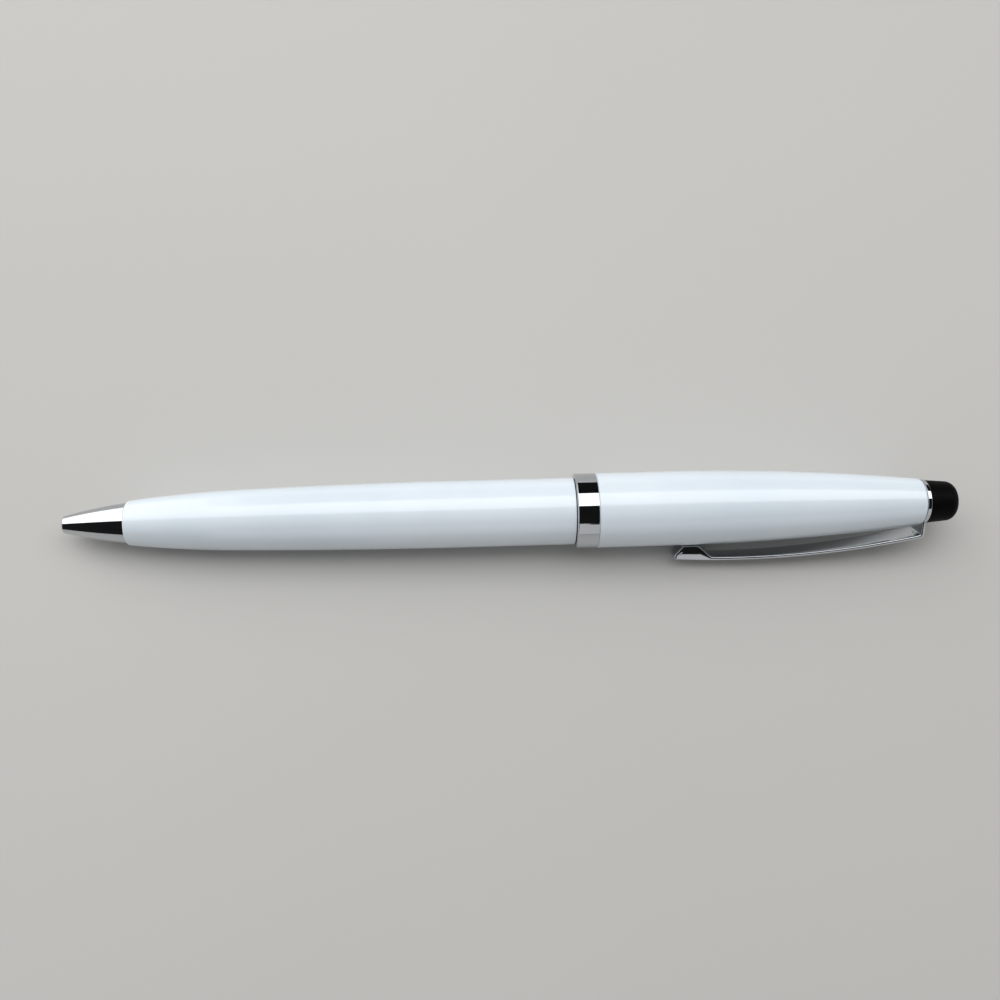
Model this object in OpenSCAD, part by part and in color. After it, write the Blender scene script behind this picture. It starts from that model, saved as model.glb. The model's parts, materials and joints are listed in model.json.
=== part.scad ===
// Twist ballpoint pen: a white barrel and cap that turn against each other at a chrome band,
// a chrome nose and clip, and a helical cam inside that drives the refill out and back.
// The pen lies along X with its tip at -X. It is shown retracted, turned as it is put down on a table.

/* [Nose cone] */
// Length of the nose cone that shows ahead of the barrel
nose_length = 9.7; // [8.5:0.1:12]
// Diameter of the nose cone at its front edge
nose_tip_d = 2.56; // [2.2:0.02:2.8]
// Diameter of the nose cone where it meets the barrel
nose_base_d = 6.26; // [5.8:0.02:6.5]
// How far the side of the cone swells beyond a straight taper
nose_swell = 0.18; // [0:0.02:0.4]
// Rounding of the front edge of the cone
nose_lip = 0.16; // [0.05:0.01:0.2]
// Length of the hole that guides the writing tip
nose_guide_length = 2; // [1:0.1:2.3]
// Diameter of the threaded shank behind the cone
nose_shank_d = 4.6; // [4.4:0.05:4.8]
// Length of the shank
nose_shank_length = 8; // [4:0.5:12]
// Length of the threaded bush that takes the shank
nose_bush_length = 9; // [5:0.5:14]

/* [Barrel] */
// Length of the white barrel, from the nose cone to the twist seam
barrel_length = 68; // [60:0.1:76]
// Diameter of the straight rear part of the barrel
barrel_d = 10.36; // [9.8:0.02:10.8]
// Length of the straight rear part
barrel_straight = 17.4; // [12:0.1:24]
// Diameter of the barrel at its front end
barrel_front_d = 6.84; // [6.7:0.02:7.4]
// Length of the more sharply drawn-in front part
barrel_shoulder = 15.5; // [12:0.1:20]
// How far the long middle part draws in before the shoulder begins
barrel_belly_drop = 0.56; // [0.3:0.02:0.7]
// Wall of the barrel tube
barrel_wall = 0.5; // [0.4:0.05:0.75]
// Thickness of the inturned lip at the front of the barrel
barrel_lip = 0.8; // [0.6:0.05:1]
// Rounding of the front edge of the barrel
barrel_edge = 0.26; // [0.1:0.02:0.3]
// Length of the bush in the rear of the barrel
coupling_length = 11; // [9:0.5:14]

/* [Twist seam and band] */
// Open seam between the barrel and the turning band
twist_gap = 0.1; // [0.05:0.01:0.2]
// Width of the chrome band
band_length = 3.4; // [3:0.1:5]
// Diameter of the band, and of the cap behind it
band_d = 11.58; // [11.3:0.02:12]
// Bevel on the front edge of the band
band_bevel = 0.2; // [0.1:0.05:0.5]
// Depth of the fine groove between the band and the cap
band_groove = 0.12; // [0.05:0.01:0.2]
// Length of the band's spigot inside the cap
band_spigot = 3.6; // [3:0.1:4]
// Wall of the band over its journal
band_wall = 1.25; // [1.2:0.05:1.35]

/* [Cap] */
// Length of the white cap
cap_length = 51; // [46:0.1:56]
// Length of the straight front part of the cap
cap_straight = 11; // [9:0.1:13]
// Diameter of the cap at its rear end
cap_end_d = 7.26; // [7:0.02:7.6]
// Wall of the cap tube
cap_wall = 0.5; // [0.4:0.05:0.75]
// Thickness of the inturned lip at the rear of the cap
cap_lip = 0.7; // [0.5:0.05:1]
// Rounding of the rear edge of the cap
cap_edge = 0.45; // [0.1:0.02:0.5]

/* [Clip] */
// Thickness of the clip strip and of its ring
clip_thickness = 0.6; // [0.5:0.02:0.7]
// Length of the clip, from its ring to its free end
clip_length = 38.7; // [34:0.1:40]
// Width of the clip at its ring
clip_root_w = 4.4; // [3.6:0.1:5]
// Width of the clip at its free end
clip_end_w = 2.8; // [2.4:0.1:3.4]
// Radius of the corners of the free end, seen from above
clip_corner = 0.6; // [0.2:0.05:1]
// Distance of the clip's outer face from the pen's axis at its highest point
clip_reach = 8.42; // [8.2:0.02:8.8]
// Distance of that highest point from the ring
clip_crest = 29.6; // [27:0.1:31]
// Distance of the outer face from the axis at the ring end
clip_root_reach = 5.42; // [5.3:0.02:6]
// Outside radius of the bend at the ring end
clip_bend = 0.9; // [0.75:0.05:1.2]
// Length of the contact foot where it leaves the strip
foot_length = 5.8; // [5.2:0.1:6.6]
// Length of the flat top of the foot
foot_top = 2.4; // [1.5:0.1:2.8]
// Slope length at the free end of the foot
foot_lead = 1.4; // [1:0.1:1.8]
// Rounding of the foot's corners
foot_round = 0.45; // [0.1:0.05:0.5]
// Gap between the foot and the cap
foot_gap = 0.08; // [0.05:0.01:0.4]
// Air under the lower edge of the clip when the pen is put down on its barrel and band
clip_air = 0.25; // [0.15:0.01:0.35]
// Diameter of the clip's ring
ring_d = 6.96; // [6.8:0.02:7.1]

/* [End cap] */
// Length of the black end cap
end_cap_length = 5.2; // [5:0.1:7]
// Diameter of the end cap at the ring
end_cap_d = 6.76; // [6.5:0.02:6.9]
// Diameter of the end cap where its rounded corner begins
end_cap_top_d = 6.2; // [5.6:0.02:6.4]
// Radius of that corner
end_cap_corner = 1.6; // [1.2:0.05:2]
// Radius of the shallow dome on its end
end_cap_dome = 5.2; // [4.4:0.1:8]
// Diameter of the threaded stud in the end cap
stud_d = 3; // [2.6:0.1:3.2]
// Depth of the stud in the end cap
stud_depth = 3.4; // [2:0.1:3.8]
// Length of the nut inside the cap
nut_length = 4.6; // [3.5:0.1:5]

/* [Refill] */
// Diameter of the writing ball
ball_d = 1; // [0.7:0.05:1.1]
// How far the ball stands out of its socket
ball_show = 0.3; // [0.2:0.02:0.34]
// How far the ball sits inside the nose when retracted
retract_depth = 1.6; // [1:0.1:1.8]
// Diameter of the slender front of the writing tip
tip_d = 1.6; // [1.5:0.02:1.66]
// Length of that slender front
tip_length = 5.4; // [5.2:0.1:6]
// Length of its conical point
tip_cone = 1.3; // [0.9:0.1:2]
// Wall of the socket rim round the ball
tip_rim = 0.07; // [0.05:0.01:0.1]
// Diameter of the thicker body of the writing tip
tip_body_d = 2.3; // [2.1:0.02:2.4]
// Length of that body
tip_body_length = 5; // [4:0.1:6]
// Length of the tip pressed into the ink tube
tip_shank = 3; // [2:0.1:5]
// Diameter of the ink channel
ink_channel_d = 0.7; // [0.5:0.05:0.8]
// Diameter of the ink tube
tube_d = 3.1; // [2.9:0.02:3.2]
// Wall of the ink tube
tube_wall = 0.3; // [0.2:0.02:0.35]
// Length of the ink column
ink_length = 80; // [40:1:85]
// Length of the screw collar behind the ink tube
collar_length = 6; // [5:0.1:7]
// Length of the collar pressed into the ink tube
collar_shank = 3; // [2:0.1:4]

/* [Twist mechanism] */
// Stroke of the refill
stroke = 4.5; // [3.5:0.1:4.6]
// Turn of the cap over that stroke, in degrees
twist_turn = 180; // [150:5:180]
// Distance of the mechanism's rear end from the rear end of the cap
mechanism_setback = 7.4; // [6.8:0.1:9]
// Outside diameter of the guide tube under the cam sleeve
guide_d = 5.7; // [5.6:0.02:5.8]
// Wall of the guide tube
guide_wall = 0.6; // [0.5:0.02:0.62]
// Outside diameter of the guide tube ahead of the cam sleeve
guide_front_d = 6.8; // [6.7:0.02:6.85]
// Length of the threaded spigot in the coupling bush
guide_spigot_length = 8; // [6:0.5:9]
// Diameter of that spigot
guide_spigot_d = 6.4; // [6.2:0.05:6.8]
// Length of the guide tube behind its ring groove
guide_tail = 0.8; // [0.6:0.05:1.5]
// Length of the cam sleeve
cam_length = 22; // [18:0.5:26]
// Wall of the cam sleeve
cam_wall = 0.58; // [0.5:0.02:0.6]
// Length of the cam sleeve behind the retracted pin
cam_land = 2.6; // [2:0.1:3]
// Diameter of the cross pin
pin_d = 1; // [0.8:0.05:1.1]
// Distance of the pin's ends below the outside of the cam sleeve
pin_inset = 0.1; // [0.05:0.01:0.2]
// Distance of the pin behind the refill
pin_setback = 1.5; // [1.2:0.1:2]
// Length of the plunger behind the pin
plunger_tail = 2.2; // [1.5:0.1:3]
// Thickness of the thrust washer
washer_thickness = 0.5; // [0.3:0.05:0.6]
// Thickness of the retaining clip
retainer_thickness = 0.6; // [0.4:0.05:0.8]
// Depth of the retaining clip's groove
retainer_depth = 0.3; // [0.2:0.02:0.35]
// Height of the retaining clip above the guide tube
retainer_height = 0.5; // [0.3:0.02:0.55]
// Opening of the retaining clip, in degrees
retainer_opening = 50; // [30:5:90]
// Length of the drive bush seated in the straight part of the cap
drive_seat = 6; // [4:0.5:6.5]
// Length of the drive bush over the cam sleeve
drive_overlap = 13; // [8:0.5:16]
// Wall of the drive bush over the cam sleeve
drive_wall = 0.7; // [0.5:0.05:0.8]
// Section diameter of the rubber ring on the journal
friction_ring_d = 0.94; // [0.8:0.02:1]
// Distance of the rubber ring from the rear end of the journal
friction_ring_setback = 1.6; // [1.2:0.1:2]

/* [Fits] */
// Radial gap left at press and screw fits
press_gap = 0.005; // [0.002:0.001:0.01]
// Radial gap of parts that turn or slide in each other
running_gap = 0.05; // [0.03:0.01:0.06]
// Radial gap between the writing tip and the nose
tip_gap = 0.075; // [0.05:0.005:0.09]
// Radial gap between the ball and its socket
ball_gap = 0.015; // [0.01:0.001:0.02]
// Gap between the pin and the sides of its slots
slot_gap = 0.06; // [0.04:0.01:0.1]
// End gap of the turning cam sleeve
end_gap = 0.1; // [0.05:0.01:0.2]
// Gap round the stud and along pieces that only have to clear each other
free_gap = 0.1; // [0.06:0.01:0.2]

/* [Hidden] */
$fn = 96;
// Steps along a drawn curve and along a rounded corner
curve_steps = 16;
corner_steps = 8;
slot_steps = 36;

// Stations along the axis, measured from the front edge of the nose
s_barrel = nose_length;
s_seam = s_barrel + barrel_length;
s_band = s_seam + twist_gap;
s_cap = s_band + band_length;
s_ring = s_cap + cap_length;
s_end = s_ring + clip_thickness;
pen_length = s_end + end_cap_length;

// Radii of the outside
nose_tip_r = nose_tip_d / 2;
nose_base_r = nose_base_d / 2;
barrel_r = barrel_d / 2;
barrel_front_r = barrel_front_d / 2;
body_r = band_d / 2;
cap_end_r = cap_end_d / 2;

// The barrel's two drawn-in stretches: a long belly and a shoulder that continues its slope
s_straight = s_seam - barrel_straight;
s_shoulder = s_barrel + barrel_shoulder;
belly_length = s_straight - s_shoulder;
belly_slope = 2 * barrel_belly_drop / belly_length;
shoulder_drop = barrel_r - barrel_belly_drop - belly_slope * barrel_shoulder - barrel_front_r;
shoulder_bow = shoulder_drop / pow(barrel_shoulder, 2);

// The cap's taper
s_taper = s_cap + cap_straight;
taper_length = s_ring - s_taper;
cap_bore_r = body_r - cap_wall;

// The band and the journal that it turns on
band_bore_r = body_r - band_wall;
journal_r = band_bore_r - running_gap;
s_spigot_end = s_cap + band_spigot;
s_journal_end = s_spigot_end - end_gap;

// The mechanism, worked out forward from the rear end of the cap
guide_r = guide_d / 2;
guide_bore_r = guide_r - guide_wall;
guide_front_r = guide_front_d / 2;
cam_bore_r = guide_r + running_gap;
cam_r = cam_bore_r + cam_wall;
s_guide_end = s_ring - mechanism_setback;
s_retainer = s_guide_end - guide_tail - retainer_thickness;
s_washer = s_retainer - washer_thickness;
s_cam_end = s_washer - end_gap;
s_cam = s_cam_end - cam_length;
s_guide_step = s_cam - end_gap;
s_pin = s_cam_end - cam_land;
pin_r = pin_d / 2;
pin_reach = cam_r - pin_inset;
plunger_r = guide_bore_r - running_gap;
drive_bore_r = guide_front_r + free_gap;
drive_r = cam_r + drive_wall;
s_drive = s_spigot_end + free_gap;
retainer_floor_r = guide_r - retainer_depth;
retainer_r = guide_r + retainer_height;
s_friction_ring = s_journal_end - friction_ring_setback;
friction_ring_r = journal_r - friction_ring_d / 2;

// The refill, from its ball to its tail
ball_r = ball_d / 2;
tip_r = tip_d / 2;
tip_body_r = tip_body_d / 2;
tube_r = tube_d / 2;
tube_bore_r = tube_r - tube_wall;
collar_r = tube_bore_r + tube_wall / 2;
s_ball = retract_depth + ball_r;
s_rim = retract_depth + ball_show;
s_tip_step = s_rim + tip_length;
s_tube = s_tip_step + tip_body_length;
s_tip_end = s_tube + tip_shank;
s_tail = s_pin - pin_setback;
s_collar = s_tail - collar_length;
nose_hole_r = tip_r + tip_gap;
nose_relief_r = tip_body_r + 2 * tip_gap;
nose_chamber_r = tube_r + 2 * free_gap;
s_chamber = s_tube - stroke - 2 * free_gap;
s_relief = nose_guide_length + nose_relief_r - nose_hole_r;

// The end cap and its stud
end_cap_r = end_cap_d / 2;
stud_r = stud_d / 2;
s_lip = s_ring - cap_lip;
s_nut = s_lip - nut_length;

// The clip: its outer face is one arc over the crest
s_crest = s_ring - clip_crest;
s_clip_end = s_ring - clip_length;
clip_drop = clip_reach - clip_root_reach;
clip_arc = (pow(clip_crest, 2) + pow(clip_drop, 2)) / (2 * clip_drop);
clip_center = clip_reach - clip_arc;

// How the pen is put down: it tips forward on the band's edge until the barrel touches
s_edge = s_band + band_bevel;
rest_tip = min([for (s = stations(s_barrel, s_seam)) atan((body_r - barrel_at(s)) / (s_edge - s))]);
// Turn of the clip below the horizontal at which its lower edge just clears the table
clip_lean = min([
    for (s = stations(s_clip_end, s_crest))
    asin((table_at(s) - clip_air) / norm([clip_at(s), clip_half_w(s)])) - atan(clip_half_w(s) / clip_at(s))
]);

chrome = "#c9ccd0";
white = "#f2f3f4";
black = "#0b0b0c";
brass = "#c9a75b";
steel = "#aeb2b6";
nylon = "#dcd8cc";
grey = "#3a3d42";

// Radius of the barrel's outside at a station
function barrel_at(s) =
    s >= s_straight ? barrel_r
    : s >= s_shoulder ? barrel_r - barrel_belly_drop * pow((s_straight - s) / belly_length, 2)
    : barrel_r - barrel_belly_drop - belly_slope * (s_shoulder - s) - shoulder_bow * pow(s_shoulder - s, 2);

// Radius of the cap's outside at a station
function cap_at(s) =
    s <= s_taper ? body_r : body_r - (body_r - cap_end_r) * pow((s - s_taper) / taper_length, 2);

// Radius of the nose cone's outside at a station
function nose_at(s) =
    let (t = s / nose_length)
    nose_tip_r + (nose_base_r - nose_tip_r) * t + 4 * nose_swell * t * (1 - t);

// Distance of the clip's outer face, or of a face below it, from the axis at a station
function clip_at(s, depth = 0) = clip_center + sqrt(pow(clip_arc - depth, 2) - pow(s - s_crest, 2));

// Half of the clip's width at a station
function clip_half_w(s) = (clip_end_w + (clip_root_w - clip_end_w) * (s - s_clip_end) / clip_length) / 2;

// Distance of the table below the axis at a station
function table_at(s) = body_r + (s - s_edge) * tan(rest_tip);

// Stations from one end of a stretch to the other
function stations(from, to, steps = curve_steps) = [for (i = [0:steps]) from + (to - from) * i / steps];

// The same stations without the two ends
function between(from, to, steps = curve_steps) = [for (i = [1:steps - 1]) from + (to - from) * i / steps];

function unit(v) = v / norm(v);

// Points of a rounded corner at b, between the lines to a and to c
function corner(a, b, c, r) =
    let (
        u = unit(a - b),
        v = unit(c - b),
        half = acos(u * v) / 2,
        center = b + unit(u + v) * r / sin(half),
        from = b + u * r / tan(half) - center,
        to = b + v * r / tan(half) - center
    )
    [for (i = [0:corner_steps]) center + r * unit(from + (to - from) * i / corner_steps)];

// Points of an arc round a centre
function arc(center, r, from, to, steps = corner_steps) =
    [for (a = stations(from, to, steps)) center + r * [cos(a), sin(a)]];

// Places a piece that was drawn upright along Z, with the nose edge at Z = 0, along X
module lay_down() {
    translate([-s_seam, 0, 0]) rotate([0, 90, 0]) children();
}

// Turns a piece drawn on the +X side so that it lies where the clip lies
module at_clip_side() {
    rotate(clip_lean - 90) children();
}

module revolve(outline) {
    rotate_extrude() polygon(outline);
}

module ring(bore_r, outer_r, from, to) {
    revolve([[bore_r, from], [outer_r, from], [outer_r, to], [bore_r, to]]);
}

module nose_cone() {
    edge = [nose_at(0), 0];
    side = [for (s = stations(2 * nose_lip, nose_length)) [nose_at(s), s]];
    shank_r = nose_shank_d / 2;
    s_shank_end = nose_length + nose_shank_length;
    relief_taper = nose_chamber_r - nose_relief_r;
    bore = [
        [nose_chamber_r, s_shank_end], [nose_chamber_r, s_chamber],
        [nose_relief_r, s_chamber - relief_taper], [nose_relief_r, s_relief],
        [nose_hole_r, nose_guide_length], [nose_hole_r, 0]
    ];
    color(chrome) lay_down() revolve(concat(
        corner([0, 0], edge, side[0], nose_lip), side,
        [[shank_r, nose_length], [shank_r, s_shank_end]], bore
    ));
}

module barrel_shell() {
    s_inside = s_barrel + barrel_lip;
    front = [barrel_at(s_barrel), s_barrel];
    shoulder = [for (s = stations(s_barrel + 2 * barrel_edge, s_shoulder)) [barrel_at(s), s]];
    belly = [for (s = stations(s_shoulder, s_straight)) [barrel_at(s), s]];
    inside_belly = [for (s = stations(s_straight, s_shoulder)) [barrel_at(s) - barrel_wall, s]];
    inside_shoulder = [for (s = stations(s_shoulder, s_inside)) [barrel_at(s) - barrel_wall, s]];
    lip_r = nose_shank_d / 2 + press_gap;
    color(white) lay_down() revolve(concat(
        [[lip_r, s_barrel]],
        corner([0, s_barrel], front, shoulder[0], barrel_edge),
        shoulder, [for (i = [1:curve_steps]) belly[i]],
        [[barrel_r, s_seam], [barrel_r - barrel_wall, s_seam]],
        inside_belly, [for (i = [1:curve_steps]) inside_shoulder[i]],
        [[lip_r, s_inside]]
    ));
}

module nose_bush() {
    from = s_barrel + barrel_lip;
    to = from + nose_bush_length;
    outside = [for (s = stations(from, to)) [barrel_at(s) - barrel_wall - running_gap, s]];
    bore_r = nose_shank_d / 2 + press_gap;
    color(brass) lay_down() revolve(concat(outside, [[bore_r, to], [bore_r, from]]));
}

module coupling_bush() {
    bore_r = guide_spigot_d / 2 + press_gap;
    color(brass) lay_down()
        ring(bore_r, barrel_r - barrel_wall - press_gap, s_seam - coupling_length, s_seam);
}

module guide_tube() {
    spigot_r = guide_spigot_d / 2;
    ring_half = friction_ring_d / 2 + running_gap;
    ring_floor_r = friction_ring_r - friction_ring_d / 2 - press_gap;
    slot_r = pin_r + slot_gap;
    color(grey) lay_down() difference() {
        revolve([
            [guide_bore_r, s_seam - guide_spigot_length], [spigot_r, s_seam - guide_spigot_length],
            [spigot_r, s_seam], [journal_r, s_seam],
            [journal_r, s_friction_ring - ring_half], [ring_floor_r, s_friction_ring - ring_half],
            [ring_floor_r, s_friction_ring + ring_half], [journal_r, s_friction_ring + ring_half],
            [journal_r, s_journal_end], [guide_front_r, s_journal_end],
            [guide_front_r, s_guide_step], [guide_r, s_guide_step],
            [guide_r, s_retainer], [retainer_floor_r, s_retainer],
            [retainer_floor_r, s_retainer + retainer_thickness], [guide_r, s_retainer + retainer_thickness],
            [guide_r, s_guide_end], [guide_bore_r, s_guide_end]
        ]);
        for (s = [s_pin - stroke, s_pin]) {
            translate([0, 0, s]) rotate([90, 0, 0]) cylinder(h = 2 * cam_r, r = slot_r, center = true);
        }
        translate([0, 0, s_pin - stroke / 2]) cube([2 * slot_r, 2 * cam_r, stroke], center = true);
    }
}

module friction_ring() {
    color("#1c1c1c") lay_down()
        rotate_extrude() translate([friction_ring_r, s_friction_ring]) circle(d = friction_ring_d);
}

module thrust_washer() {
    color(nylon) lay_down() ring(guide_r + press_gap, retainer_r, s_washer, s_retainer);
}

module retaining_clip() {
    reach = 2 * retainer_r;
    half = retainer_opening / 2;
    color(steel) lay_down() translate([0, 0, s_retainer]) linear_extrude(retainer_thickness) difference() {
        circle(retainer_r);
        circle(retainer_floor_r + press_gap);
        polygon([[0, 0], reach * [cos(half), -sin(half)], reach * [cos(half), sin(half)]]);
    }
}

module center_band() {
    color(chrome) lay_down() revolve([
        [band_bore_r, s_band], [body_r - band_bevel, s_band], [body_r, s_band + band_bevel],
        [body_r, s_cap - band_groove], [body_r - band_groove, s_cap],
        [cap_bore_r - press_gap, s_cap], [cap_bore_r - press_gap, s_spigot_end], [band_bore_r, s_spigot_end]
    ]);
}

module cap_shell() {
    taper = [for (s = stations(s_taper, s_ring - 2 * cap_edge)) [cap_at(s), s]];
    inside = [for (s = stations(s_lip, s_taper)) [cap_at(s) - cap_wall, s]];
    color(white) lay_down() revolve(concat(
        [[cap_bore_r, s_cap], [body_r - band_groove, s_cap], [body_r, s_cap + band_groove]],
        taper,
        corner(taper[curve_steps], [cap_end_r, s_ring], [0, s_ring], cap_edge),
        [[stud_r + free_gap, s_ring], [stud_r + free_gap, s_lip]],
        inside
    ));
}

module drive_bush() {
    s_tube_part = s_drive + drive_seat;
    s_cam_part = s_guide_step;
    color(nylon) lay_down() revolve([
        [drive_bore_r, s_drive], [cap_bore_r - press_gap, s_drive],
        [cap_bore_r - press_gap, s_tube_part], [drive_r, s_tube_part],
        [drive_r, s_cam + drive_overlap], [cam_r + press_gap, s_cam + drive_overlap],
        [cam_r + press_gap, s_cam_part], [drive_bore_r, s_cam_part]
    ]);
}

// One helical slot, cut by a strip that climbs from the retracted to the extended pin
module helical_slot() {
    lead = stroke / (twist_turn * PI / 180);
    half = (pin_r + slot_gap) / cos(atan(lead / cam_bore_r));
    inner = cam_bore_r - 2 * running_gap;
    outer = cam_r + 2 * running_gap;
    points = [
        for (i = [0:slot_steps])
        let (a = twist_turn * i / slot_steps, s = s_pin - stroke * i / slot_steps)
        for (p = [[inner, -half], [outer, -half], [outer, half], [inner, half]])
        [p[0] * cos(a), p[0] * sin(a), s + p[1]]
    ];
    last = 4 * slot_steps;
    sides = [
        for (i = [0:slot_steps - 1])
        for (k = [0:3])
        let (a = 4 * i + k, b = 4 * i + (k + 1) % 4)
        for (f = [[a, b, a + 4], [b, b + 4, a + 4]])
        f
    ];
    ends = [[0, 2, 1], [0, 3, 2], [last, last + 1, last + 2], [last, last + 2, last + 3]];
    polyhedron(points, concat(sides, ends));
    for (end = [[0, s_pin], [twist_turn, s_pin - stroke]]) {
        rotate(end[0]) translate([0, 0, end[1]]) rotate([0, 90, 0])
            cylinder(h = outer, r = pin_r + slot_gap);
    }
}

module cam_sleeve() {
    color(brass) lay_down() difference() {
        ring(cam_bore_r, cam_r, s_cam, s_cam_end);
        for (a = [90, 270]) rotate(a) helical_slot();
    }
}

// Side view of the clip strip: ring tab, bend, bowed arm and round free end
function clip_side() =
    let (
        s_bend = (s_end - clip_bend - clip_bend * s_crest / clip_arc) / (1 - clip_bend / clip_arc),
        lean = asin((s_bend - s_crest) / clip_arc),
        bend = [clip_at(s_bend), s_bend] - clip_bend * [cos(lean), sin(lean)],
        tip_r = clip_thickness / 2,
        s_tip = s_clip_end + tip_r,
        tip_lean = asin((s_tip - s_crest) / clip_arc),
        tip = [clip_at(s_tip), s_tip] - tip_r * [cos(tip_lean), sin(tip_lean)]
    )
    concat(
        [[0, s_end]],
        arc(bend, clip_bend, 90, lean),
        [for (s = between(s_bend, s_tip)) [clip_at(s), s]],
        arc(tip, tip_r, tip_lean, tip_lean - 180),
        [for (s = between(s_tip, s_bend)) [clip_at(s, clip_thickness), s]],
        arc(bend, clip_bend - clip_thickness, lean, 90),
        [[0, s_ring]]
    );

// Side view of the contact foot, standing on the inside of the strip
function clip_foot() =
    let (
        depth = clip_thickness / 2,
        front = [clip_at(s_clip_end + depth, depth), s_clip_end + depth],
        back = [clip_at(s_clip_end + foot_length, depth), s_clip_end + foot_length],
        top_r = cap_at(s_clip_end + foot_lead) + foot_gap,
        top_front = [top_r, s_clip_end + foot_lead],
        top_back = [top_r, s_clip_end + foot_lead + foot_top]
    )
    concat(
        [front],
        corner(front, top_front, top_back, foot_round),
        corner(top_front, top_back, back, foot_round),
        [back]
    );

// Plan of the clip: a slow taper that ends square, with rounded corners
function clip_plan() =
    let (
        root = clip_root_w / 2,
        side = clip_end_w / 2 - clip_corner,
        end = -s_clip_end - clip_corner
    )
    concat(
        [[-s_end, root]],
        arc([end, side], clip_corner, 90, 0),
        arc([end, -side], clip_corner, 0, -90),
        [[-s_end, -root]]
    );

module clip() {
    color(chrome) lay_down() difference() {
        union() {
            at_clip_side() intersection() {
                rotate([90, 0, 0]) linear_extrude(clip_root_w, center = true) union() {
                    polygon(clip_side());
                    polygon(clip_foot());
                }
                rotate([0, 90, 0]) linear_extrude(clip_reach + clip_thickness) polygon(clip_plan());
            }
            translate([0, 0, s_ring]) cylinder(h = clip_thickness, d = ring_d);
        }
        translate([0, 0, s_ring - free_gap])
            cylinder(h = clip_thickness + 2 * free_gap, r = stud_r + free_gap);
    }
}

module clip_nut() {
    outside = [for (s = stations(s_nut, s_lip)) [cap_at(s) - cap_wall - running_gap, s]];
    bore_r = stud_r + press_gap;
    color(brass) lay_down() revolve(concat(outside, [[bore_r, s_lip], [bore_r, s_nut]]));
}

module end_stud() {
    color(brass) lay_down() translate([0, 0, s_nut]) cylinder(h = s_end + stud_depth - s_nut, r = stud_r);
}

module end_cap() {
    dome = [0, pen_length - end_cap_dome];
    corner_x = end_cap_top_d / 2 - end_cap_corner;
    meet = acos(corner_x / (end_cap_dome - end_cap_corner));
    corner_center = dome + (end_cap_dome - end_cap_corner) * [cos(meet), sin(meet)];
    side_lean = atan((end_cap_d - end_cap_top_d) / 2 / (corner_center[1] - s_end));
    s_hole = s_end + stud_depth;
    color(black) lay_down() revolve(concat(
        [[stud_r + press_gap, s_end], [end_cap_r, s_end]],
        arc(corner_center, end_cap_corner, side_lean, meet),
        [for (a = stations(meet, 90, corner_steps)) if (a > meet) dome + end_cap_dome * [cos(a), sin(a)]],
        [[0, s_hole], [stud_r + press_gap, s_hole]]
    ));
}

module plunger() {
    color(nylon) lay_down() difference() {
        revolve([
            [0, s_tail], [collar_r + press_gap, s_tail], [collar_r + press_gap, s_collar],
            [plunger_r, s_collar], [plunger_r, s_pin + plunger_tail], [0, s_pin + plunger_tail]
        ]);
        translate([0, 0, s_pin]) rotate([90, 0, 0])
            cylinder(h = 2 * cam_r, r = pin_r + press_gap, center = true);
    }
}

module drive_pin() {
    color(steel) lay_down()
        translate([0, 0, s_pin]) rotate([90, 0, 0]) cylinder(h = 2 * pin_reach, r = pin_r, center = true);
}

module refill_collar() {
    color(grey) lay_down() revolve([
        [0, s_collar - collar_shank], [tube_bore_r - press_gap, s_collar - collar_shank],
        [tube_bore_r - press_gap, s_collar], [collar_r, s_collar], [collar_r, s_tail], [0, s_tail]
    ]);
}

module refill_tube() {
    neck = tube_wall / 2;
    color(brass) lay_down() revolve([
        [tube_bore_r, s_tube], [tube_r - neck, s_tube], [tube_r, s_tube + tube_wall],
        [tube_r, s_collar], [tube_bore_r, s_collar]
    ]);
}

module ink_column() {
    color("#10131a") lay_down()
        translate([0, 0, s_tip_end]) cylinder(h = ink_length, r = tube_bore_r - press_gap);
}

module refill_tip() {
    socket_r = ball_r + ball_gap;
    rim_r = sqrt(pow(ball_r, 2) - pow(ball_r - ball_show, 2)) + ball_gap + tip_rim;
    channel_r = ink_channel_d / 2;
    shank_r = tube_bore_r - press_gap;
    step = tip_body_r - tip_r;
    color(steel) lay_down() difference() {
        revolve([
            [channel_r, s_rim], [rim_r, s_rim], [tip_r, s_rim + tip_cone],
            [tip_r, s_tip_step], [tip_body_r, s_tip_step + step],
            [tip_body_r, s_tube], [shank_r, s_tube], [shank_r, s_tip_end], [channel_r, s_tip_end]
        ]);
        translate([0, 0, s_ball]) sphere(socket_r);
    }
}

module writing_ball() {
    color("#8d9196") lay_down() translate([0, 0, s_ball]) sphere(ball_r);
}

barrel_shell();
nose_cone();
nose_bush();
coupling_bush();
guide_tube();
friction_ring();
thrust_washer();
retaining_clip();
center_band();
cap_shell();
drive_bush();
cam_sleeve();
clip();
clip_nut();
end_stud();
end_cap();
plunger();
drive_pin();
refill_collar();
refill_tube();
ink_column();
refill_tip();
writing_ball();
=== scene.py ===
"""Looks of a twist ballpoint pen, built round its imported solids.

Pieces are drawn in millimetres along the pen from the front edge of its nose, and are then laid in the
frame, which is in metres with its origin at the twist seam.
"""

import json
import logging
import math
from collections.abc import Sequence
from dataclasses import dataclass
from enum import Enum

import bmesh
import bpy
from mathutils import Matrix, Vector


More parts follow.
